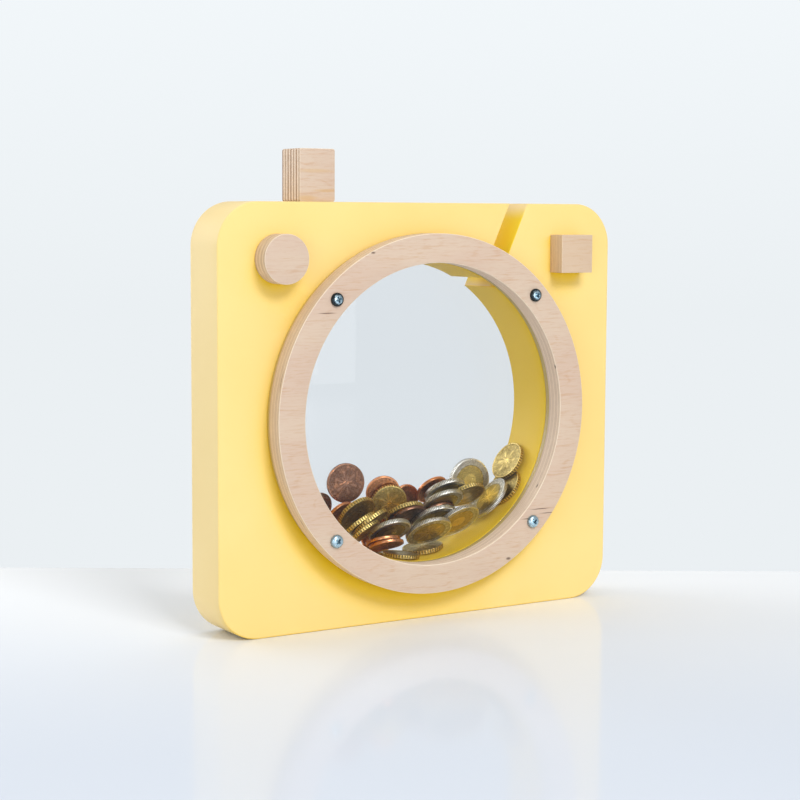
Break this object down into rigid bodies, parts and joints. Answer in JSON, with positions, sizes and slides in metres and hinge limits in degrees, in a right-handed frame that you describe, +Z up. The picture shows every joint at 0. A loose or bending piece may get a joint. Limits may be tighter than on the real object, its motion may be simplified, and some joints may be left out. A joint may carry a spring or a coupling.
{
  "type": "money box",
  "caption": "Wooden money box shaped like a camera: painted slab, plywood ring screwed over a clear round window, plywood trim, coin slot and a heap of coins inside.",
  "frame": {"origin": "centre of the slab's underside, on the surface that the money box stands on", "axes": "+Z up, -Y out of the front face with the ring, +X to the right seen from the front"},
  "size_m": [0.242, 0.0515, 0.2468],
  "materials": {
    "yellow_paint": "satin yellow paint on wood",
    "plywood": "bare sanded birch plywood",
    "beech": "bare",
    "clear_pane": "clear polished acrylic",
    "zinc_plate": "bright zinc plate",
    "coin_copper": "worn copper plate",
    "coin_brass": "worn golden alloy",
    "coin_nickel": "worn nickel with a golden centre"
  },
  "bodies": {
    "case": {"body": "yellow_paint", "shutter_block": "plywood", "shutter_dowel": "beech", "dial": "plywood", "dial_dowel": "beech", "viewfinder": "plywood", "viewfinder_dowel": "beech", "back_pane": "clear_pane", "back_screws": "zinc_plate", "coins_copper_small": "coin_copper", "coins_copper_medium": "coin_copper", "coins_copper_large": "coin_copper", "coins_brass_small": "coin_brass", "coins_brass_medium": "coin_brass", "coins_bimetal_small": "coin_nickel", "coins_bimetal_large": "coin_nickel"},
    "cover": {"front_ring": "plywood", "front_pane": "clear_pane"},
    "screw_ul": {"front_screw_upper_left": "zinc_plate"},
    "screw_ur": {"front_screw_upper_right": "zinc_plate"},
    "screw_ll": {"front_screw_lower_left": "zinc_plate"},
    "screw_lr": {"front_screw_lower_right": "zinc_plate"}
  },
  "joints": [
    {"name": "cover_off", "type": "slide", "parent": "case", "child": "cover", "axis": [0, -1, 0], "range_m": [0, 0.05]},
    {"name": "unscrew_ul", "type": "slide", "parent": "cover", "child": "screw_ul", "axis": [0, -1, 0], "range_m": [0, 0.03]},
    {"name": "unscrew_ur", "type": "slide", "parent": "cover", "child": "screw_ur", "axis": [0, -1, 0], "range_m": [0, 0.03]},
    {"name": "unscrew_ll", "type": "slide", "parent": "cover", "child": "screw_ll", "axis": [0, -1, 0], "range_m": [0, 0.03]},
    {"name": "unscrew_lr", "type": "slide", "parent": "cover", "child": "screw_lr", "axis": [0, -1, 0], "range_m": [0, 0.03]}
  ]
}
